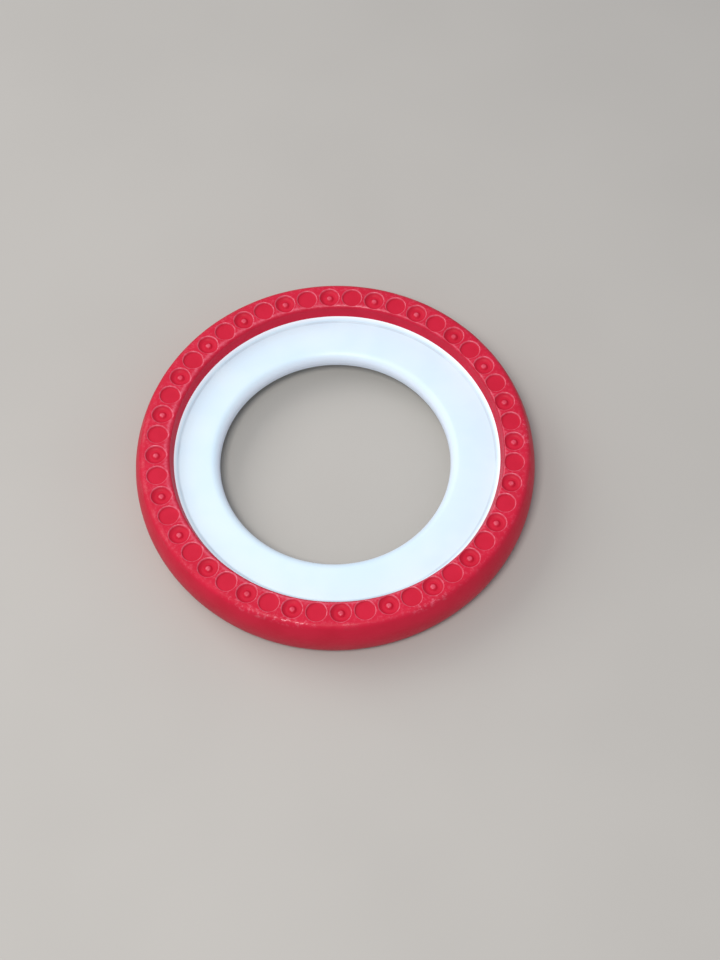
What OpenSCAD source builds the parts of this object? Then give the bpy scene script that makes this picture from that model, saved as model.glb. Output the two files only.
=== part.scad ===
// Soft-grip flying ring: a rigid moulded core ring with a softer rim moulded around its edge.
// +Z is the ring's axis. The ring lies flat on z = 0, centred on the origin, and both of its
// faces are the same, so every height below is measured from the ring's middle plane.

/* [Ring] */
// Outer diameter of the grip rim
outer_d = 90; // [88:0.5:100]
// Height of the grip rim, which is the height of the whole ring
rim_h = 12.9; // [12.4:0.1:16]
// Diameter of the centre hole
hole_d = 52; // [40:0.5:60]

/* [Core plate] */
// Thickness of the plate between the hole and the rim
plate_t = 5; // [4:0.1:5.6]
// Radius of the rounding along the edge of the hole
lip_r = 2.14; // [1.2:0.01:2.4]
// Diameter at which the plate starts to rise towards the rim
band_d = 71.4; // [68:0.1:72]
// Diameter at which the rim's inner wall meets the plate
foot_d = 73.2; // [72.6:0.1:74]
// Thickness of the core where it enters the rim
collar_t = 7; // [6:0.1:7.6]

/* [Hidden interlock] */
// Diameter of the thick collar inside the rim
collar_d = 75.6; // [75:0.1:76.4]
// Outer diameter of the thin flange inside the rim
flange_d = 83; // [82:0.1:83.4]
// Thickness of the thin flange
flange_t = 2.4; // [1.6:0.1:3]
// Number of holes in the flange that the rim's material runs through
lock_count = 24; // [12:1:32]
// Diameter of those holes
lock_d = 1.8; // [1.2:0.1:2]

/* [Grip rim] */
// Outer diameter of the flat land that the dimples are sunk in
land_d = 84.8; // [84.7:0.1:85.4]
// Radius of the shoulder between the land and the bulging side
shoulder_r = 1.5; // [1.2:0.05:1.6]
// Radius of the small rounding along the inner edge
inner_r = 0.7; // [0.4:0.05:0.9]
// How far the inner wall leans outwards from its foot to its top
wall_lean = 0.6; // [0.1:0.05:0.7]

/* [Dimples] */
// Number of dimple pairs on each face, one plain and one studded dimple in a pair
pairs = 24; // [16:1:25]
// Diameter of the circle that the dimples' centres lie on
dimple_circle_d = 80; // [79.6:0.1:80.2]
// Diameter of a dimple's floor
dimple_floor_d = 4.1; // [3:0.05:4.2]
// Diameter of a dimple at the rim's face
dimple_top_d = 4.6; // [4.25:0.05:4.7]
// Depth of a plain dimple
plain_depth = 0.5; // [0.3:0.05:0.7]
// Depth of the moat around a stud
moat_depth = 0.8; // [0.5:0.05:1]
// Diameter of a stud at the bottom of its moat
stud_d = 2; // [1.4:0.1:2.4]
// Diameter of a stud's top
stud_top_d = 1.1; // [0.6:0.1:1.3]
// How far a stud's top stays below the rim's face
stud_drop = 0.3; // [0.1:0.05:0.4]
// Angle of the first plain dimple from the X axis
first_dimple = -6.35; // [-7.5:0.05:7.5]

/* [Hidden] */
$fn = 96;
hole_r = hole_d / 2;
plate_half = plate_t / 2;
lip_half = plate_half - lip_r;
band_r = band_d / 2;
foot_r = foot_d / 2;
collar_half = collar_t / 2;
collar_r = collar_d / 2;
flange_r = flange_d / 2;
flange_half = flange_t / 2;
lock_circle_r = (collar_r + flange_r) / 2;
rim_r = outer_d / 2;
rim_half = rim_h / 2;
wall_top_r = foot_r + wall_lean;
land_r = land_d / 2;
// centre of the shoulder's arc, and the radius of the one arc that makes the whole side: it
// touches the outer diameter at the middle plane and runs smoothly into both shoulders
shoulder_y = rim_half - shoulder_r;
side_depth = rim_r - land_r;
side_r = (side_depth * side_depth + shoulder_y * shoulder_y - shoulder_r * shoulder_r)
    / (2 * (side_depth - shoulder_r));
side_x = rim_r - side_r;
side_end = atan2(shoulder_y, land_r - side_x);
// how far a cutter reaches past the face that it cuts
over = 0.5;
// how much wider a dimple's cutter is at its top, above the rim's face
top_spread = over * (dimple_top_d - dimple_floor_d) / (2 * plain_depth);
pitch = 360 / pairs;

// A closed outline from its upper half, whose points run from the hole outwards
function both_halves(upper) = concat(
    upper,
    [for (i = [len(upper) - 1 : -1 : 0]) [upper[i][0], -upper[i][1]]]
);

// What rounding a corner takes away: at is the centre of the rounding, r its radius, and the
// corner lies from there along the two directions
module corner_waste(at, r, dir_a, dir_b) {
    reach = r + over;
    translate(at) difference() {
        polygon([[0, 0], reach * dir_a, reach * (dir_a + dir_b), reach * dir_b]);
        circle(r = r);
    }
}

// Section of the core: rounded hole edge, plate, rising band, hidden collar and flange
module core_outline() {
    difference() {
        polygon(both_halves([
            [hole_r, plate_half],
            [band_r, plate_half],
            [foot_r, collar_half],
            [collar_r, collar_half],
            [collar_r, flange_half],
            [flange_r, flange_half]
        ]));
        for (up = [-1, 1]) {
            corner_waste([hole_r + lip_r, up * lip_half], lip_r, [-1, 0], [0, up]);
            corner_waste([flange_r - flange_half, 0], flange_half, [1, 0], [0, up]);
        }
    }
}

// Section of the rim around the core
module rim_outline() {
    difference() {
        intersection() {
            polygon(both_halves([
                [foot_r, collar_half],
                [wall_top_r, rim_half - inner_r],
                [wall_top_r, rim_half],
                [rim_r + over, rim_half]
            ]));
            translate([side_x, 0]) circle(r = side_r);
        }
        for (up = [-1, 1]) {
            corner_waste(
                [wall_top_r + inner_r, up * (rim_half - inner_r)], inner_r, [-1, 0], [0, up]
            );
            corner_waste(
                [land_r, up * shoulder_y], shoulder_r, [cos(side_end), up * sin(side_end)], [0, up]
            );
        }
        core_outline();
    }
}

// Plain dimple: a flat floor and a sloping wall
module plain_cutter() {
    translate([0, 0, -plain_depth])
        cylinder(d1 = dimple_floor_d, d2 = dimple_top_d + 2 * top_spread, h = plain_depth + over);
}

// Studded dimple: a sloping wall around a moat, with a blunt cone left standing in the middle
module stud_cutter() {
    rotate_extrude() polygon([
        [0, -stud_drop],
        [stud_top_d / 2, -stud_drop],
        [stud_d / 2, -moat_depth],
        [(dimple_floor_d + stud_d) / 4, -moat_depth],
        [dimple_floor_d / 2, -plain_depth],
        [dimple_top_d / 2 + top_spread, over],
        [0, over]
    ]);
}

// Every dimple of the upper face
module dimples() {
    for (i = [0 : pairs - 1]) {
        rotate(first_dimple - i * pitch)
            translate([dimple_circle_d / 2, 0, rim_half]) plain_cutter();
        rotate(first_dimple - (i + 0.5) * pitch)
            translate([dimple_circle_d / 2, 0, rim_half]) stud_cutter();
    }
}

// Cylinders that run through the flange and a little past its faces. They cut the flange's
// holes, and they are also the posts of rim material that fill those holes.
module locks() {
    for (i = [0 : lock_count - 1])
        rotate(i * 360 / lock_count)
            translate([lock_circle_r, 0, 0])
                cylinder(d = lock_d, h = flange_t + 2 * over, center = true);
}

module core_ring() {
    color("white") translate([0, 0, rim_half]) difference() {
        rotate_extrude() core_outline();
        locks();
    }
}

module grip_rim() {
    color("crimson") translate([0, 0, rim_half]) {
        difference() {
            rotate_extrude() rim_outline();
            dimples();
            mirror([0, 0, 1]) dimples();
        }
        locks();
    }
}

core_ring();
grip_rim();
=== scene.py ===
import math

import bpy
from bpy.props import FloatProperty, FloatVectorProperty, PointerProperty
from mathutils import Matrix, Vector


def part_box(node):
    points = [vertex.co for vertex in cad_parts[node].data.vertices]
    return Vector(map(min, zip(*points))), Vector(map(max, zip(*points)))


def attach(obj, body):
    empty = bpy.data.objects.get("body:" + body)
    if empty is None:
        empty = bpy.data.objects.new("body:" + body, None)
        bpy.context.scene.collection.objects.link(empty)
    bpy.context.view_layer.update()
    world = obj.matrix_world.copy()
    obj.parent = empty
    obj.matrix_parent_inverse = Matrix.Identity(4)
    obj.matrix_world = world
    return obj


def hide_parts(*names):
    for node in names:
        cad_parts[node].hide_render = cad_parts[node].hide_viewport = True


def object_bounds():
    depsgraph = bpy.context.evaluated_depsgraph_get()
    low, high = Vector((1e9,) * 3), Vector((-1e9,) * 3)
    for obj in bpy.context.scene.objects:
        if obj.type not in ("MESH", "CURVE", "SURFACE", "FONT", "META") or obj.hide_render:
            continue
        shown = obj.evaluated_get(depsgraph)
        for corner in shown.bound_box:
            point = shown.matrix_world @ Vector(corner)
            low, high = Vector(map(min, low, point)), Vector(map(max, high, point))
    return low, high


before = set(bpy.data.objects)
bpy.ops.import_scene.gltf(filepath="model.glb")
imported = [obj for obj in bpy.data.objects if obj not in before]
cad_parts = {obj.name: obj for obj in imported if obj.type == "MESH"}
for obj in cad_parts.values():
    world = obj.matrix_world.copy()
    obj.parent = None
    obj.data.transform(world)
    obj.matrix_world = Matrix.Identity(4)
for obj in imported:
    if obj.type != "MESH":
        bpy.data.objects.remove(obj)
cad_low, cad_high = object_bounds()

bl_info = {
    "name": "Flying Ring",
    "version": (1, 0, 0),
    "blender": (4, 5, 0),
    "location": "3D Viewport > Sidebar > Flying Ring",
    "description": "Builds a soft-rimmed flying ring around its frame, with a small studio",
    "category": "Add Mesh",
}

MM = 0.001
RIM_LOW, RIM_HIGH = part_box("grip_rim")
CORE_LOW, CORE_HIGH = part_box("core_ring")
CELLS = 24                     # repeats around the ring: one plain and one studded dimple in each
COLUMNS = 16                   # faces across one cell, half of them to a dimple
PITCH = math.tau / CELLS
WELD = 2e-6                    # points closer than this are one point
STEP = math.radians(18)        # how far one face goes round a small corner
HOLD = 0.04 * MM               # how close a row of points lies to a sharp corner
LIP_STEPS = 14                 # faces around the hole's rounded lip
SIDE_STEPS = 11                # faces from the shoulder to the rim's widest place
SHOULDER_STEPS = 6
SHOULDER_SHARE = 0.33          # how much of the shoulder's radius the dimples' patches take in
LOCK_BLOCK = 1.4 * MM          # half the width of the patch of faces around a lock post
# Where the rim's inner rounding has points, in degrees before the land.
CREST_ANGLES = (59, 42, 25, 8)
# Rubbed places of the shoulder, pale with wear and a painted highlight: angle around the ring and
# half width, in degrees.
RUBS_AND_HIGHLIGHTS = ((250, 15), (298, 8), (4, 6))

RIM_WAVES, RIM_SEED = 9 * MM, 3.7           # size and place of the slow unevenness
CORE_WAVES, CORE_SEED = 14 * MM, 8.1
RIM_ROUGHNESS = 0.46
RIM_SHEEN = 0.14               # specular level of the soft rim where nothing rubs it
RUBBED_ROUGHNESS = 0.24
RUBBED_IOR = 1.55
PLATE_ROUGHNESS = 0.42
PLATE_IOR = 1.49
FLOOR_ROUGHNESS = 0.8
GRAIN_DEPTH = 0.012 * MM       # fine grain of both mouldings
DENT_DEPTH = 0.10 * MM         # soft dents and scuffs of the rim

FLOOR_REACH = 40               # ring diameters from the ring to the floor's edge
LIGHT_UNIT = 10.0              # watts per square metre of distance for a light level of one
WARM_WHITE = (1.0, 0.985, 0.965)
SKY_WHITE = (0.87, 0.91, 1.0, 1.0)
SKY_LEVEL = 0.5
LIGHTS = (                     # name, place and size in ring diameters, level
    ("window", (-5.0, 2.6, 5.2), (6.0, 5.0), 0.45),
    ("ceiling", (-0.8, -2.6, 6.2), (1.8, 1.8), 0.57))


def smallest_radius(node):
    """How near a frame node comes to the ring's axis."""
    return min(math.hypot(v.co.x, v.co.y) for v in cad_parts[node].data.vertices)


# ---------------------------------------------------------------- what a user may change

class RingSizes(bpy.types.PropertyGroup):
    """Sizes of the two mouldings. Heights are measured from the ring's middle plane."""

    rim_radius: FloatProperty(
        name="Rim radius", description="Outer radius of the soft rim",
        default=min(RIM_HIGH.x, RIM_HIGH.y), unit="LENGTH", precision=5)
    rim_height: FloatProperty(
        name="Rim height", description="Height of the soft rim",
        default=RIM_HIGH.z - RIM_LOW.z, unit="LENGTH", precision=5)
    hole_radius: FloatProperty(
        name="Hole radius", description="Radius of the centre hole",
        default=smallest_radius("core_ring"), unit="LENGTH", precision=5)
    foot_radius: FloatProperty(
        name="Foot radius", description="Where the rim's inner wall meets the plate",
        default=smallest_radius("grip_rim"), unit="LENGTH", precision=5)
    collar_half: FloatProperty(
        name="Collar half height", description="Half the core's height where it enters the rim",
        default=(CORE_HIGH.z - CORE_LOW.z) / 2, unit="LENGTH", precision=5)
    flange_radius: FloatProperty(
        name="Flange radius", description="Outer radius of the flange hidden in the rim",
        default=min(CORE_HIGH.x, CORE_HIGH.y), unit="LENGTH", precision=5)
    plate_half: FloatProperty(
        name="Plate half thickness", description="Half the thickness of the white plate",
        default=2.5 * MM, unit="LENGTH", precision=5)
    band_radius: FloatProperty(
        name="Band radius", description="Where the plate starts to rise towards the rim",
        default=35.7 * MM, unit="LENGTH", precision=5)
    collar_radius: FloatProperty(
        name="Collar radius", description="Outer radius of the thick collar hidden in the rim",
        default=37.8 * MM, unit="LENGTH", precision=5)
    flange_half: FloatProperty(
        name="Flange half thickness", description="Half the thickness of the hidden flange",
        default=1.2 * MM, unit="LENGTH", precision=5)
    lock_radius: FloatProperty(
        name="Lock radius", description="Radius of the flange's holes and the rim's posts",
        default=0.9 * MM, unit="LENGTH", precision=5)
    lip_rounding: FloatProperty(
        name="Lip rounding", description="Radius of the rounding around the hole",
        default=2.14 * MM, unit="LENGTH", precision=5)
    flash: FloatProperty(
        name="Flash", description="How far the moulding line stands out around the hole",
        default=0.05 * MM, unit="LENGTH", precision=5)
    inner_rounding: FloatProperty(
        name="Inner rounding", description="Radius along the rim's inner edge",
        default=0.95 * MM, unit="LENGTH", precision=5)
    wall_lean: FloatProperty(
        name="Wall lean", description="How far the inner wall leans outwards over its height",
        default=0.6 * MM, unit="LENGTH", precision=5)
    land_radius: FloatProperty(
        name="Land radius", description="Outer radius of the flat land under the dimples",
        default=42.4 * MM, unit="LENGTH", precision=5)
    shoulder: FloatProperty(
        name="Shoulder", description="Radius between the land and the bulging side",
        default=1.5 * MM, unit="LENGTH", precision=5)
    waviness: FloatProperty(
        name="Waviness", description="Depth of the soft moulding's slow unevenness",
        default=0.03 * MM, unit="LENGTH", precision=5)
    wall_shift: FloatProperty(
        name="Wall shift", description="How far along X the rim's inner wall lies off the axis",
        default=0.45 * MM, unit="LENGTH", precision=5)


class DimpleSizes(bpy.types.PropertyGroup):
    """Sizes of the plain and studded dimples."""

    circle_radius: FloatProperty(
        name="Circle radius", description="Radius of the circle that the dimples lie on",
        default=40.0 * MM, unit="LENGTH", precision=5)
    top_radius: FloatProperty(
        name="Top radius", description="Radius of a dimple at the land",
        default=2.3 * MM, unit="LENGTH", precision=5)
    floor_radius: FloatProperty(
        name="Floor radius", description="Radius of a dimple's floor",
        default=2.05 * MM, unit="LENGTH", precision=5)
    depth: FloatProperty(
        name="Depth", description="Depth of a plain dimple",
        default=0.5 * MM, unit="LENGTH", precision=5)
    moat_depth: FloatProperty(
        name="Moat depth", description="Depth around a stud",
        default=0.8 * MM, unit="LENGTH", precision=5)
    stud_radius: FloatProperty(
        name="Stud radius", description="Radius of a stud at its foot",
        default=1.0 * MM, unit="LENGTH", precision=5)
    stud_top_radius: FloatProperty(
        name="Stud top radius", description="Radius of a stud's blunt top",
        default=0.55 * MM, unit="LENGTH", precision=5)
    stud_drop: FloatProperty(
        name="Stud drop", description="How far a stud's top stays below the land",
        default=0.3 * MM, unit="LENGTH", precision=5)
    edge_rounding: FloatProperty(
        name="Edge rounding", description="Radius along a dimple's upper edge",
        default=0.22 * MM, unit="LENGTH", precision=5)
    moat_radius: FloatProperty(
        name="Moat radius", description="Where the flat of the moat around a stud ends",
        default=1.525 * MM, unit="LENGTH", precision=5)
    first_angle: FloatProperty(
        name="First angle", description="Angle of the first plain dimple from the X axis",
        default=math.radians(-6.35), subtype="ANGLE", unit="ROTATION")


class RingColours(bpy.types.PropertyGroup):
    """Colours of the two mouldings and the floor."""

    rim: FloatVectorProperty(
        name="Rim", description="Colour of the soft rim",
        default=(0.56, 0.013, 0.042), subtype="COLOR", size=3, min=0, max=1)
    plate: FloatVectorProperty(
        name="Plate", description="Colour of the hard plate",
        default=(0.66, 0.79, 0.87), subtype="COLOR", size=3, min=0, max=1)
    floor: FloatVectorProperty(
        name="Floor", description="Colour of the studio floor",
        default=(0.44, 0.42, 0.39), subtype="COLOR", size=3, min=0, max=1)


class StudioSettings(bpy.types.PropertyGroup):
    """The camera's place, in ring diameters from the ring's centre, and its angles."""

    camera_place: FloatVectorProperty(
        name="Camera place", description="Camera position in ring diameters",
        default=(0.06102, -2.23804, 4.21767), size=3)
    camera_tilt: FloatProperty(
        name="Camera tilt", description="How far the camera looks down from the horizon",
        default=math.radians(62.22), subtype="ANGLE", unit="ROTATION")
    camera_roll: FloatProperty(
        name="Camera roll", description="Turn of the camera about its own axis",
        default=math.radians(-1.148), subtype="ANGLE", unit="ROTATION")
    lens: FloatProperty(
        name="Lens", description="Focal length in millimetres",
        default=70.35, min=20, max=200)


# ---------------------------------------------------------------- node graphs written as maths

class Wire:
    """A node's output. Arithmetic on it adds the Math node that it needs."""

    def __init__(self, graph, socket):
        self.graph = graph
        self.socket = socket

    def maths(self, operation, *values):
        sockets = {i: value for i, value in enumerate(values)}
        return self.graph.add("ShaderNodeMath", {"operation": operation}, sockets)

    def __add__(self, other):
        return self.maths("ADD", self, other)

    def __radd__(self, other):
        return self.maths("ADD", other, self)

    def __sub__(self, other):
        return self.maths("SUBTRACT", self, other)

    def __rsub__(self, other):
        return self.maths("SUBTRACT", other, self)

    def __mul__(self, other):
        return self.maths("MULTIPLY", self, other)

    def __rmul__(self, other):
        return self.maths("MULTIPLY", other, self)

    def __truediv__(self, other):
        return self.maths("DIVIDE", self, other)

    def __rtruediv__(self, other):
        return self.maths("DIVIDE", other, self)

    def __pow__(self, other):
        return self.maths("POWER", self, other)

    def __abs__(self):
        return self.maths("ABSOLUTE", self)


class Graph:
    """Adds nodes to one tree. The same class writes materials and geometry."""

    def __init__(self, tree):
        self.tree = tree

    def add(self, kind, settings=None, sockets=None, out=0):
        """One node: its type, its settings, and the values or wires of its sockets."""
        node = self.tree.nodes.new(kind)
        for name, value in (settings or {}).items():
            setattr(node, name, value)
        for key, value in (sockets or {}).items():
            if isinstance(value, Wire):
                self.tree.links.new(value.socket, node.inputs[key])
            else:
                node.inputs[key].default_value = value
        return Wire(self, node.outputs[out]) if len(node.outputs) else None

    def parts(self, vector):
        """The three numbers of a vector wire."""
        node = self.add("ShaderNodeSeparateXYZ", None, {0: vector}).socket.node
        return [Wire(self, socket) for socket in node.outputs]

    def scaled(self, vector, factor):
        """A vector wire times a number."""
        return self.add(
            "ShaderNodeVectorMath", {"operation": "SCALE"}, {0: vector, "Scale": factor})

    def ramp(self, value, low, high):
        """Smooth step of a wire, from 0 at low to 1 at high."""
        return self.add(
            "ShaderNodeMapRange", {"interpolation_type": "SMOOTHSTEP"},
            {"Value": value, "From Min": low, "From Max": high})

    def noise(self, place, scale, detail=2.0, rough=0.5):
        return self.add(
            "ShaderNodeTexNoise", {"noise_dimensions": "3D"},
            {"Vector": place, "Scale": scale, "Detail": detail, "Roughness": rough})

    def tint(self, factor, first, second):
        """Mixes two colours, given as wires or as three numbers."""
        first, second = (
            colour if isinstance(colour, Wire) else (*colour, 1.0) for colour in (first, second))
        return self.add(
            "ShaderNodeMix", {"data_type": "RGBA"}, {0: factor, 6: first, 7: second}, out=2)


def from_axis(x, y):
    """How far a place lies from the ring's axis, as a wire."""
    return (x * x + y * y) ** 0.5


# ---------------------------------------------------------------- outlines

def rounded_path(corners):
    """Points along a path whose corners are (x, y, radius). The ends have radius 0."""
    path = []
    for i, (x, y, radius) in enumerate(corners):
        here = Vector((x, y))
        if radius == 0 or i in (0, len(corners) - 1):
            path.append((x, y))
            continue
        back = (Vector(corners[i - 1][:2]) - here).normalized()
        ahead = (Vector(corners[i + 1][:2]) - here).normalized()
        half = back.angle(ahead) / 2
        centre = here + (back + ahead).normalized() * radius / math.sin(half)
        start = here + back * radius / math.tan(half) - centre
        end = here + ahead * radius / math.tan(half) - centre
        turn = start.angle_signed(end)
        steps = max(2, math.ceil(abs(turn) / STEP))
        for step in range(steps + 1):
            a = -turn * step / steps
            path.append((
                centre.x + start.x * math.cos(a) - start.y * math.sin(a),
                centre.y + start.x * math.sin(a) + start.y * math.cos(a)))
    return path


def arc(centre, radius, first, last, steps):
    """Points on an arc, its angles counted from the first axis."""
    return [
        (centre[0] + radius * math.cos(first + (last - first) * i / steps),
         centre[1] + radius * math.sin(first + (last - first) * i / steps))
        for i in range(steps + 1)]


# ---------------------------------------------------------------- one cell's mesh

class Cell:
    """Points and faces of one cell, welded where they meet. Heights count from mid_z.

    While mirrored is set, what is added lies below the middle plane instead of above it, and
    while turned is set, faces look the other way."""

    def __init__(self, mid_z, first_angle):
        self.mid_z = mid_z
        self.points = []
        # Two marks per point: wear with a painted highlight, and painted shade with some dirt.
        self.wear_and_highlight = []
        self.shade_and_dirt = []
        self.faces = []
        self.known = {}
        self.mirrored = False
        self.turned = False
        start = first_angle - 0.75 * PITCH
        self.angles = [start + PITCH * j / COLUMNS for j in range(COLUMNS + 1)]

    def point(self, x, y, z, wear_and_highlight=0.0, shade_and_dirt=0.0):
        z = -z if self.mirrored else z
        key = (round(x * 1e7), round(y * 1e7), round(z * 1e7))
        if key not in self.known:
            self.known[key] = len(self.points)
            self.points.append((x, y, z + self.mid_z))
            self.wear_and_highlight.append(wear_and_highlight)
            self.shade_and_dirt.append(shade_and_dirt)
        return self.known[key]

    def polar(self, r, angle, z, *marks):
        return self.point(r * math.cos(angle), r * math.sin(angle), z, *marks)

    def face(self, *corners):
        kept = [c for i, c in enumerate(corners) if c != corners[i - 1]]
        if self.mirrored != self.turned:
            kept.reverse()
        if len(kept) > 2:
            self.faces.append(kept)

    def strip(self, path, gap=(0, 0, 0, 0)):
        """Faces along a path of (radius, height, marks). Gap is what is left out, as its first
        row, its rows, its first column and its columns."""
        for i in range(len(path) - 1):
            for j in range(COLUMNS):
                if gap[0] <= i < gap[0] + gap[1] and gap[2] <= j < gap[2] + gap[3]:
                    continue
                a, b = self.angles[j], self.angles[j + 1]
                (r, z, *marks), (r2, z2, *marks2) = path[i], path[i + 1]
                self.face(
                    self.polar(r, a, z, *marks), self.polar(r2, a, z2, *marks2),
                    self.polar(r2, b, z2, *marks2), self.polar(r, b, z, *marks))

    def between(self, outer, inner):
        """Faces between two closed rings of points."""
        for k in range(len(outer)):
            n = (k + 1) % len(outer)
            self.face(outer[k], inner[k], inner[n], outer[n])

    def patch(self, radii, first_column, columns, centre, circle, height, wear_and_highlight_at, through=False):
        """Fills a block of the grid with rings that go from its border to circles around the
            centre, given as (radius, angle). Circle lists (radius, depth, mark of wear and painted
            highlight) from the outside in. Height and the wear-and-highlight mark are functions of
            the distance from the axis. Through goes on from the last circle to the middle plane."""
        angles = self.angles[first_column:first_column + columns + 1]
        middle = Vector((math.cos(centre[1]), math.sin(centre[1]))) * centre[0]
        border = block_border(radii, angles)
        plan = [Vector((r * math.cos(a), r * math.sin(a))) for r, a in border]
        ways = [(p - middle).normalized() for p in plan]
        ring = [self.polar(r, a, height(r), wear_and_highlight_at(r)) for r, a in border]
        for share in (0.4, 0.75):           # two rings between the border and the circle
            places = [p.lerp(middle + w * circle[0][0], share) for p, w in zip(plan, ways)]
            inner = [self.point(p.x, p.y, height(p.length), wear_and_highlight_at(p.length)) for p in places]
            self.between(ring, inner)
            ring = inner
        deepest = max(depth for _, depth, _ in circle) or 1.0
        # The second mark grows with depth: painted shade, with some dust, in a dimple's hollow.
        for radius, depth, wear_and_highlight in circle:
            places = [middle + w * radius for w in ways]
            inner = [
                self.point(
                    p.x, p.y, height(p.length) - depth,
                    max(wear_and_highlight, 0.0 if depth else wear_and_highlight_at(p.length)), depth / deepest)
                for p in places]
            if radius == 0:
                for k, corner in enumerate(ring):
                    self.face(corner, inner[0], ring[(k + 1) % len(ring)])
            else:
                self.between(ring, inner)
            ring = inner
        if through:
            self.between(ring, [self.point(p.x, p.y, 0.0) for p in places])

    def mesh(self, name):
        mesh = bpy.data.meshes.new(name)
        mesh.from_pydata(self.points, [], self.faces)
        for attribute in ("wear_and_highlight", "shade_and_dirt"):
            data = mesh.attributes.new(attribute, "FLOAT", "POINT").data
            data.foreach_set("value", getattr(self, attribute))
        return mesh


def block_border(radii, angles):
    """Points (radius, angle) around a block of the grid, once round."""
    border = [(radii[0], a) for a in angles[:-1]]
    border += [(r, angles[-1]) for r in radii[:-1]]
    border += [(radii[-1], a) for a in reversed(angles[1:])]
    border += [(r, angles[0]) for r in reversed(radii[1:])]
    return border


def add_interlock(cell, sizes):
    """The hidden seam between core and rim, from the wall's foot over the collar to the
    flange's rounded edge, with the lock post that runs through the flange."""
    half = sizes.flange_half
    seat = sizes.flange_radius - half
    middle = (sizes.collar_radius + sizes.flange_radius) / 2
    rows, columns = 5, 6

    def height(r):
        return half if r <= seat else math.sqrt(max(0.0, half ** 2 - (r - seat) ** 2))

    radii = [middle + LOCK_BLOCK * (2 * i / rows - 1) for i in range(rows + 1)]
    path = [
        (sizes.foot_radius, sizes.collar_half),
        (sizes.foot_radius + HOLD, sizes.collar_half),
        (sizes.collar_radius, sizes.collar_half),
        (sizes.collar_radius, half)]
    first_row = len(path)
    path += [(r, height(r)) for r in radii]
    path += arc((seat, 0), half, math.acos((radii[-1] - seat) / half), 0, 4)[1:]
    place = -cell.angles[0] % PITCH
    first_column = min(max(round(place / PITCH * COLUMNS) - columns // 2, 0), COLUMNS - columns)
    cell.strip(path, (first_row, rows, first_column, columns))
    cell.patch(
        radii, first_column, columns, (middle, cell.angles[0] + place),
        [(sizes.lock_radius, 0.0, 0.0)], height, lambda r: 0.0, through=True)


def dimple_rings(corners, stud=0.0):
    """The circles of a dimple from its section, marked for wear and a painted highlight on the
    bend at the top and on the top of a stud of that radius."""
    bend = 0.7 * corners[1][2]
    return [
        (r, -z, 1.0 if 0 < -z < bend else 0.7 if r < 1.05 * stud else 0.0)
        for r, z in rounded_path(corners)]


def rim_cell(sizes, dimples):
    """One cell of the rim: a plain and a studded dimple on each face, side, wall and seam."""
    half = sizes.rim_height / 2
    cell = Cell(half, dimples.first_angle)
    edge, land, shoulder = sizes.inner_rounding, sizes.land_radius, sizes.shoulder
    edge_at = (sizes.foot_radius + sizes.wall_lean + edge, half - edge)
    depth = sizes.rim_radius - land
    rise = half - shoulder
    side = (depth ** 2 + rise ** 2 - shoulder ** 2) / (2 * (depth - shoulder))
    side_at = (sizes.rim_radius - side, 0.0)
    side_end = math.atan2(rise, land - side_at[0])

    def height(r):
        if r < edge_at[0]:
            return edge_at[1] + math.sqrt(max(0.0, edge ** 2 - (edge_at[0] - r) ** 2))
        if r > land:
            return rise + math.sqrt(max(0.0, shoulder ** 2 - (r - land) ** 2))
        return half

    def wear_and_highlight_at(r):
        """A line of wear and painted highlight along the inner rounding."""
        return max(0.0, 1.0 - abs(r - edge_at[0] + 0.25 * edge) / (0.36 * edge))

    outer = land + SHOULDER_SHARE * shoulder
    columns = COLUMNS // 2
    radii = [edge_at[0] - edge * math.sin(math.radians(a)) for a in CREST_ANGLES]
    radii += [edge_at[0] + (outer - edge_at[0]) * i / 6 for i in range(1, 7)]
    foot = Vector((sizes.foot_radius, sizes.collar_half))
    top = Vector((edge_at[0] - edge, edge_at[1]))
    wall = [(*foot.lerp(top, t),) for t in (0, 0.02, 0.25, 0.5, 0.75)]
    wall += arc(edge_at, edge, math.pi, math.radians(90 + CREST_ANGLES[0]), 3)
    flank = arc((land, rise), shoulder, math.acos(SHOULDER_SHARE), side_end, SHOULDER_STEPS)
    flank += arc(side_at, side, side_end, 0, SIDE_STEPS)[1:]

    outside = dimples.top_radius + 0.85 * dimples.edge_rounding
    mouth = [(outside, 0, 0), (dimples.top_radius, 0, dimples.edge_rounding)]
    plain = dimple_rings(mouth + [
        (dimples.floor_radius, -dimples.depth, 0.12 * MM),
        (0.55 * dimples.floor_radius, -dimples.depth, 0), (0, -dimples.depth, 0)])
    studded = dimple_rings(mouth + [
        (dimples.floor_radius, -dimples.depth, 0.1 * MM),
        (dimples.moat_radius, -dimples.moat_depth, 0.15 * MM),
        (dimples.stud_radius, -dimples.moat_depth, 0.12 * MM),
        (dimples.stud_top_radius, -dimples.stud_drop, 0.9 * MM),
        (0, -dimples.stud_drop, 0)], dimples.stud_top_radius)
    for cell.mirrored in (False, True):
        cell.turned = True
        add_interlock(cell, sizes)
        cell.turned = False
        cell.strip(wall)
        cell.strip(flank)
        for i, circle in enumerate((studded, plain)):
            centre = (dimples.circle_radius, dimples.first_angle + (i - 1) * PITCH / 2)
            cell.patch(radii, i * columns, columns, centre, circle, height, wear_and_highlight_at)
    return cell


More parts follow.
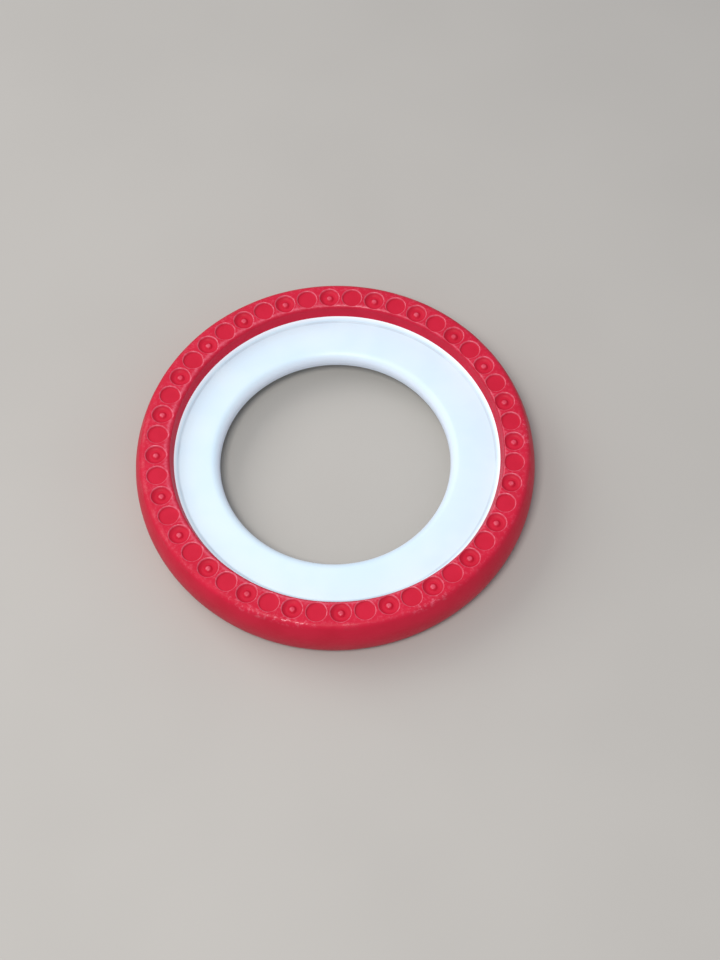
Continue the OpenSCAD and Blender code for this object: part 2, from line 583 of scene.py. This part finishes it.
def core_cell(sizes, dimples):
    """One cell of the core: hole edge with its moulding line, plate, band, seam."""
    cell = Cell(sizes.rim_height / 2, dimples.first_angle)
    hole, plate, lip = sizes.hole_radius, sizes.plate_half, sizes.lip_rounding
    step = hole + sizes.flash
    # The marks after radius and height are wear-and-highlight (none here) and painted shade with
    # some dirt, along the moulding line, in the crease and at the rim's foot.
    path = [
        (hole, 0.0, 0.0, 1.0), (hole + 0.3 * sizes.flash, 0.03 * MM, 0.0, 1.0),
        (step, 0.09 * MM, 0.0, 0.7), (step, plate - lip)]
    path += arc((step + lip, plate - lip), lip, math.pi, math.pi / 2, LIP_STEPS)[1:]
    band = Vector((sizes.band_radius, plate))
    foot = Vector((sizes.foot_radius, sizes.collar_half))
    path += [(step + lip + (band.x - step - lip) * t, plate) for t in (0.2, 0.4, 0.6, 0.75, 0.85)]
    rise = (foot - band).normalized()
    bend = rounded_path([
        (band.x - 0.6 * MM, plate, 0), (*band, 0.35 * MM), (*(band + rise * 0.6 * MM), 0)])
    path += [(r, z, 0.0, 1.0 if 0 < i < len(bend) - 1 else 0.0) for i, (r, z) in enumerate(bend)]
    path += [(*band.lerp(foot, t), 0.0, 0.0) for t in (0.7, 0.86)]
    path += [(*foot, 0.0, 1.0)]
    for cell.mirrored in (False, True):
        cell.strip(path)
        add_interlock(cell, sizes)
    return cell


# ---------------------------------------------------------------- the ring from its cell

def ring_tree():
    """Geometry Nodes that repeat a cell around the axis, weld it, move the wall off the axis
    and press a slow unevenness into the surface."""
    tree = bpy.data.node_groups.new("repeat around the axis", "GeometryNodeTree")
    face = tree.interface
    face.new_socket("Cell", in_out="INPUT", socket_type="NodeSocketGeometry")
    for name, kind in (
            ("Repeats", "NodeSocketInt"), ("Weld", "NodeSocketFloat"),
            ("Shift", "NodeSocketFloat"), ("Plate", "NodeSocketFloat"),
            ("Band", "NodeSocketFloat"), ("Wall", "NodeSocketFloat"),
            ("Land", "NodeSocketFloat"), ("Waviness", "NodeSocketFloat"),
            ("Wave size", "NodeSocketFloat"), ("Seed", "NodeSocketFloat"),
            ("Material", "NodeSocketMaterial")):
        face.new_socket(name, in_out="INPUT", socket_type=kind)
    face.new_socket("Ring", in_out="OUTPUT", socket_type="NodeSocketGeometry")
    graph = Graph(tree)
    source = graph.add("NodeGroupInput").socket.node
    given = {socket.name: Wire(graph, socket) for socket in source.outputs if socket.name}

    index = graph.add("GeometryNodeInputIndex")
    turn = graph.add("ShaderNodeCombineXYZ", None, {2: index * math.tau / given["Repeats"]})
    points = graph.add("GeometryNodePoints", None, {"Count": given["Repeats"]})
    cells = graph.add(
        "GeometryNodeInstanceOnPoints", None,
        {"Points": points, "Instance": given["Cell"], "Rotation": turn})
    ring = graph.add("GeometryNodeRealizeInstances", None, {"Geometry": cells})
    ring = graph.add(
        "GeometryNodeMergeByDistance", None, {"Geometry": ring, "Distance": given["Weld"]})

    place = graph.add("GeometryNodeInputPosition")
    x, y, _ = graph.parts(place)
    radius = from_axis(x, y)
    share = graph.ramp(radius, given["Plate"], given["Band"])
    share = share * (1 - graph.ramp(radius, given["Wall"], given["Land"]))
    shift = graph.add("ShaderNodeCombineXYZ", None, {0: share * given["Shift"]})
    ring = graph.add("GeometryNodeSetPosition", None, {"Geometry": ring, "Offset": shift})

    seed = graph.add("ShaderNodeCombineXYZ", None, {0: given["Seed"]})
    waves = graph.add(
        "ShaderNodeVectorMath", {"operation": "ADD"},
        {0: graph.scaled(place, 1 / given["Wave size"]), 1: seed})
    press = graph.ramp(graph.noise(waves, 1.0), 0.3, 0.7) * given["Waviness"] * -1.0
    press = graph.scaled(graph.add("GeometryNodeInputNormal"), press)
    ring = graph.add("GeometryNodeSetPosition", None, {"Geometry": ring, "Offset": press})
    ring = graph.add("GeometryNodeSetShadeSmooth", None, {"Geometry": ring})
    ring = graph.add(
        "GeometryNodeSetMaterial", None, {"Geometry": ring, "Material": given["Material"]})
    graph.add("NodeGroupOutput", None, {0: ring})
    return tree


def ring_from(cell, name, values):
    """Runs the node tree on a cell and returns the finished piece, with a plain mesh."""
    tree = ring_tree()
    socket_of = {
        item.name: item.identifier for item in tree.interface.items_tree if item.in_out == "INPUT"}
    source = bpy.data.objects.new(name + " cell", cell.mesh(name + " cell"))
    bpy.context.scene.collection.objects.link(source)
    nodes = source.modifiers.new("ring", "NODES")
    nodes.node_group = tree
    for key, value in values.items():
        nodes[socket_of[key]] = value
    bpy.context.view_layer.update()
    graph = bpy.context.evaluated_depsgraph_get()
    mesh = bpy.data.meshes.new_from_object(source.evaluated_get(graph), depsgraph=graph)
    if len(mesh.polygons) < CELLS * len(cell.faces) * 0.99:
        raise RuntimeError(f"{name}: the node tree gave {len(mesh.polygons)} faces")
    mesh.name = name
    piece = bpy.data.objects.new(name, mesh)
    bpy.context.scene.collection.objects.link(piece)
    bpy.data.objects.remove(source)
    bpy.data.node_groups.remove(tree)
    return piece


def shared_values(sizes):
    """What the node tree needs for both pieces."""
    return {
        "Repeats": CELLS, "Weld": WELD, "Shift": sizes.wall_shift,
        "Plate": 0.87 * sizes.band_radius, "Band": 0.98 * sizes.band_radius,
        "Wall": sizes.foot_radius + sizes.wall_lean,
        "Land": sizes.foot_radius + sizes.wall_lean + 1.2 * sizes.inner_rounding}


# ---------------------------------------------------------------- finishes

def new_material(name):
    """A material, its graph, its shader and a place in millimetres."""
    material = bpy.data.materials.new(name)
    material.use_nodes = True
    tree = material.node_tree
    shader = tree.nodes["Principled BSDF"]
    graph = Graph(tree)
    place = graph.scaled(graph.add("ShaderNodeTexCoord", out=3), 1 / MM)
    return material, graph, shader, place


def connect(graph, shader, **wires):
    """Links wires to the shader's sockets, named with _ for each space."""
    for name, wire in wires.items():
        graph.tree.links.new(wire.socket, shader.inputs[name.replace("_", " ")])


def mark(graph, name):
    """A mesh attribute as a wire."""
    return graph.add(
        "ShaderNodeAttribute", {"attribute_type": "GEOMETRY", "attribute_name": name}, out=2)


def blend(colour, other, share):
    """A colour part of the way to another."""
    return tuple(a + (b - a) * share for a, b in zip(colour, other))


def soft_rim_finish(sizes, colours):
    """Red elastomer: satin and cloudy, scuffed on the faces, darkened in the dimples by painted
    shade with some dust, and rubbed pale and glossy on the dimples' edges, the studs, the inner
    edge and three places of the shoulder, where the pale is wear and a painted highlight together."""
    material, graph, shader, place = new_material("soft red elastomer")
    x, y, z = graph.parts(place)
    radius = from_axis(x, y)
    middle = sizes.rim_height / 2 / MM
    height = abs(z - middle) / middle
    land = sizes.land_radius / MM
    face = graph.ramp(height, 0.90, 0.99)
    brow = graph.ramp(radius, land - 0.5, land + 0.2) * graph.ramp(height, 0.80, 0.93)
    wear_and_highlight, shade_and_dirt = mark(graph, "wear_and_highlight"), mark(graph, "shade_and_dirt")

    cloud = graph.noise(place, 0.16, detail=3.0)
    mottle = graph.noise(place, 1.1, detail=4.0, rough=0.65)
    speck = graph.noise(place, 3.2, detail=3.0, rough=0.6)
    patch = graph.ramp(graph.noise(place, 0.22, detail=1.0), 0.52, 0.66)
    scuff = graph.ramp(mottle * 0.6 + speck * 0.4, 0.49, 0.62) * face

    red = tuple(colours.rim)
    # Pale pink: worn rubber and a painted highlight in one colour.
    pale = blend(red, (0.95, 0.30, 0.42), 0.55)
    # Deep red: random cloudy tone, and painted shade in the hollows.
    deep = tuple(c * k for c, k in zip(red, (0.80, 0.55, 0.60)))
    colour = graph.tint(graph.ramp(cloud, 0.35, 0.65) * 0.35, red, deep)
    # Painted shade, with some dust, darkens the dimples' floors and moats towards the deep red.
    colour = graph.tint(shade_and_dirt * 0.14, colour, deep)
    colour = graph.tint(scuff * (1 - shade_and_dirt) * 0.16, colour, pale)
    # Pale rubbed places of the shoulder: wear and a painted highlight.
    rubbed_and_highlight = 0.0
    for degrees in RUBS_AND_HIGHLIGHTS:
        towards, spread = map(math.radians, degrees)
        along = (x * math.cos(towards) + y * math.sin(towards)) / radius
        rubbed_and_highlight = graph.ramp(along, math.cos(spread), math.cos(0.4 * spread)) + rubbed_and_highlight
    rubbed_and_highlight = rubbed_and_highlight * brow * graph.ramp(mottle * 0.75 + speck * 0.25, 0.49, 0.62)
    # Pale crests of the dimples, studs and inner edge: wear and a painted highlight.
    crest_wear_and_highlight = wear_and_highlight * (0.5 + 0.5 * graph.ramp(mottle, 0.38, 0.6))
    colour = graph.tint(crest_wear_and_highlight * 0.56, colour, pale)
    colour = graph.tint(rubbed_and_highlight * 0.3, colour, pale)
    rough = RIM_ROUGHNESS + (mottle - 0.5) * 0.22 + shade_and_dirt * 0.06 - brow * patch * 0.10
    gloss = crest_wear_and_highlight * 0.8 + brow * patch * 0.2 + rubbed_and_highlight * 0.7
    grain = graph.add(
        "ShaderNodeBump", None,
        {"Strength": 1.0, "Distance": GRAIN_DEPTH, "Height": graph.noise(place, 5.0)})
    dents = mottle * (0.35 + 0.65 * face) + patch * brow * speck
    bump = graph.add(
        "ShaderNodeBump", None,
        {"Strength": 1.0, "Distance": DENT_DEPTH, "Height": dents, "Normal": grain})
    connect(graph, shader, Base_Color=colour, Roughness=rough, Normal=bump, Coat_Weight=gloss)
    shader.inputs["Specular IOR Level"].default_value = RIM_SHEEN
    shader.inputs["Coat Roughness"].default_value = RUBBED_ROUGHNESS
    shader.inputs["Coat IOR"].default_value = RUBBED_IOR
    return material


def core_finish(sizes, colours):
    """Hard white plastic: cool white and faintly cloudy, with painted shade and some dirt in the
    crease, at the rim's foot and along the moulding line, painted bluish light on the hole's lip,
    a painted brighter band, and fine handling marks."""
    material, graph, shader, place = new_material("hard white plastic")
    x, y, z = graph.parts(place)
    radius = from_axis(x, y)
    middle = sizes.rim_height / 2 / MM
    step = abs(z - middle)
    band = graph.ramp(step, sizes.plate_half / MM + 0.2, sizes.collar_half / MM - 0.1)
    lip = 1 - graph.ramp(radius, sizes.hole_radius / MM + 0.1, sizes.hole_radius / MM + 1.2)
    shade_and_dirt = mark(graph, "shade_and_dirt")
    cloud = graph.noise(place, 0.10)
    fine = graph.noise(place, 2.2, detail=4.0, rough=0.6)
    drawn_out = graph.add(
        "ShaderNodeVectorMath", {"operation": "MULTIPLY"}, {0: place, 1: (0.25, 2.6, 1.0)})
    streak = graph.noise(drawn_out, 1.0, detail=3.0, rough=0.7)
    white = tuple(colours.plate)
    cool = tuple(c * k for c, k in zip(white, (0.94, 0.97, 1.0)))
    # Grey for dirt and painted shade.
    dirt_and_shade_grey = (0.33, 0.35, 0.40)
    colour = graph.tint(graph.ramp(cloud, 0.3, 0.7), white, cool)
    # Painted light: the hole's lip is tinted paler and bluer, for the bluish light on it.
    colour = graph.tint(lip * 0.8, colour, blend(white, (0.80, 0.87, 1.0), 0.7))
    # Painted light: the rising band is tinted brighter and cooler than the plate.
    colour = graph.tint(band, colour, blend(white, (0.92, 0.94, 1.0), 0.8))
    # Painted shade with some dirt: grey along the moulding line, in the crease and at the rim's
    # foot.
    crease = graph.ramp(shade_and_dirt, 0.55, 1.0) * (0.5 + 0.5 * graph.ramp(cloud, 0.4, 0.6))
    colour = graph.tint(crease * 0.35, colour, dirt_and_shade_grey)
    rough = PLATE_ROUGHNESS + (fine - 0.5) * 0.12 + graph.ramp(streak, 0.6, 0.75) * 0.1
    bump = graph.add(
        "ShaderNodeBump", None,
        {"Strength": 1.0, "Distance": GRAIN_DEPTH, "Height": fine + streak * 0.5})
    connect(graph, shader, Base_Color=colour, Roughness=rough, Normal=bump)
    shader.inputs["IOR"].default_value = PLATE_IOR
    return material


def floor_finish(colours):
    """Plain matte studio floor, very faintly uneven in tone."""
    material, graph, shader, place = new_material("pale studio floor")
    shade = graph.ramp(graph.noise(place, 0.02), 0.3, 0.7)
    pale = tuple(colours.floor)
    connect(graph, shader, Base_Color=graph.tint(shade, pale, tuple(c * 0.97 for c in pale)))
    shader.inputs["Roughness"].default_value = FLOOR_ROUGHNESS
    return material


# ---------------------------------------------------------------- operators

class FLYINGRING_OT_soft_rim(bpy.types.Operator):
    """Build the soft rim with its dimples"""

    bl_idname = "flying_ring.soft_rim"
    bl_label = "Soft Rim"
    bl_options = {"REGISTER", "UNDO"}

    def execute(self, context):
        scene = context.scene
        sizes = scene.ring_sizes
        piece = ring_from(rim_cell(sizes, scene.ring_dimples), "soft_rim", {
            **shared_values(sizes), "Waviness": sizes.waviness, "Wave size": RIM_WAVES,
            "Seed": RIM_SEED, "Material": soft_rim_finish(sizes, scene.ring_colours)})
        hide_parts("grip_rim")
        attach(piece, "root")
        return {"FINISHED"}


class FLYINGRING_OT_core_plate(bpy.types.Operator):
    """Build the hard white core"""

    bl_idname = "flying_ring.core_plate"
    bl_label = "Core Plate"
    bl_options = {"REGISTER", "UNDO"}

    def execute(self, context):
        scene = context.scene
        sizes = scene.ring_sizes
        piece = ring_from(core_cell(sizes, scene.ring_dimples), "core_plate", {
            **shared_values(sizes), "Waviness": 0.4 * sizes.waviness, "Wave size": CORE_WAVES,
            "Seed": CORE_SEED, "Material": core_finish(sizes, scene.ring_colours)})
        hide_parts("core_ring")
        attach(piece, "root")
        return {"FINISHED"}


class FLYINGRING_OT_studio(bpy.types.Operator):
    """Set up the floor, the lights and the camera"""

    bl_idname = "flying_ring.studio"
    bl_label = "Studio"
    bl_options = {"REGISTER", "UNDO"}

    def execute(self, context):
        scene = context.scene
        across = cad_high.x - cad_low.x
        self.add_floor(scene, FLOOR_REACH * across)
        for light in LIGHTS:
            self.add_light(scene, across, *light)
        self.add_sky(scene)
        studio = scene.ring_studio
        camera = bpy.data.objects.new("camera", bpy.data.cameras.new("camera"))
        camera.data.lens = studio.lens
        camera.data.sensor_width = 36.0
        camera.data.clip_start = 0.01
        camera.data.clip_end = 100.0
        turn = Matrix.Rotation(math.pi / 2 - studio.camera_tilt, 4, "X")
        turn = turn @ Matrix.Rotation(studio.camera_roll, 4, "Z")
        camera.matrix_world = Matrix.Translation(Vector(studio.camera_place) * across) @ turn
        scene.collection.objects.link(camera)
        scene.camera = camera
        scene.view_settings.view_transform = "Standard"
        return {"FINISHED"}

    @staticmethod
    def add_floor(scene, reach):
        mesh = bpy.data.meshes.new("studio_floor")
        corners = [(-reach, -reach, 0), (reach, -reach, 0), (reach, reach, 0), (-reach, reach, 0)]
        mesh.from_pydata(corners, [], [(0, 1, 2, 3)])
        mesh.materials.append(floor_finish(scene.ring_colours))
        floor = bpy.data.objects.new("studio_floor", mesh)
        scene.collection.objects.link(floor)

    @staticmethod
    def add_light(scene, across, name, place, size, level):
        """A soft rectangular light. Place and size are in ring diameters, and level is the
        light that it would give a floor right below it."""
        light = bpy.data.lights.new(name, "AREA")
        light.shape = "RECTANGLE"
        light.size, light.size_y = size[0] * across, size[1] * across
        place = Vector(place) * across
        light.energy = level * LIGHT_UNIT * place.length_squared
        light.color = WARM_WHITE
        lamp = bpy.data.objects.new(name, light)
        lamp.rotation_mode = "QUATERNION"
        lamp.rotation_quaternion = place.to_track_quat("Z", "Y")
        lamp.location = place
        scene.collection.objects.link(lamp)

    @staticmethod
    def add_sky(scene):
        world = bpy.data.worlds.new("soft room")
        world.use_nodes = True
        sky = world.node_tree.nodes["Background"]
        sky.inputs["Color"].default_value = SKY_WHITE
        sky.inputs["Strength"].default_value = SKY_LEVEL
        scene.world = world


class VIEW3D_PT_flying_ring(bpy.types.Panel):
    """Sidebar panel with the ring's sizes, colours and steps"""

    bl_label = "Flying Ring"
    bl_space_type = "VIEW_3D"
    bl_region_type = "UI"
    bl_category = "Flying Ring"

    def draw(self, context):
        for operator in OPERATORS:
            self.layout.operator(operator.bl_idname)
        for settings in SETTINGS:
            box = self.layout.box()
            group = getattr(context.scene, settings)
            for name in group.bl_rna.properties.keys():
                if name not in ("rna_type", "name"):
                    box.prop(group, name)


OPERATORS = (FLYINGRING_OT_soft_rim, FLYINGRING_OT_core_plate, FLYINGRING_OT_studio)
SETTINGS = {
    "ring_sizes": RingSizes, "ring_dimples": DimpleSizes,
    "ring_colours": RingColours, "ring_studio": StudioSettings}


def register():
    for group in SETTINGS.values():
        bpy.utils.register_class(group)
    for name, group in SETTINGS.items():
        setattr(bpy.types.Scene, name, PointerProperty(type=group))
    for part in (*OPERATORS, VIEW3D_PT_flying_ring):
        bpy.utils.register_class(part)


def unregister():
    for part in (VIEW3D_PT_flying_ring, *reversed(OPERATORS)):
        bpy.utils.unregister_class(part)
    for name in SETTINGS:
        delattr(bpy.types.Scene, name)
    for group in reversed(SETTINGS.values()):
        bpy.utils.unregister_class(group)


def main():
    register()
    bpy.ops.flying_ring.soft_rim()
    bpy.ops.flying_ring.core_plate()
    bpy.ops.flying_ring.studio()


if __name__ == "__main__":
    main()
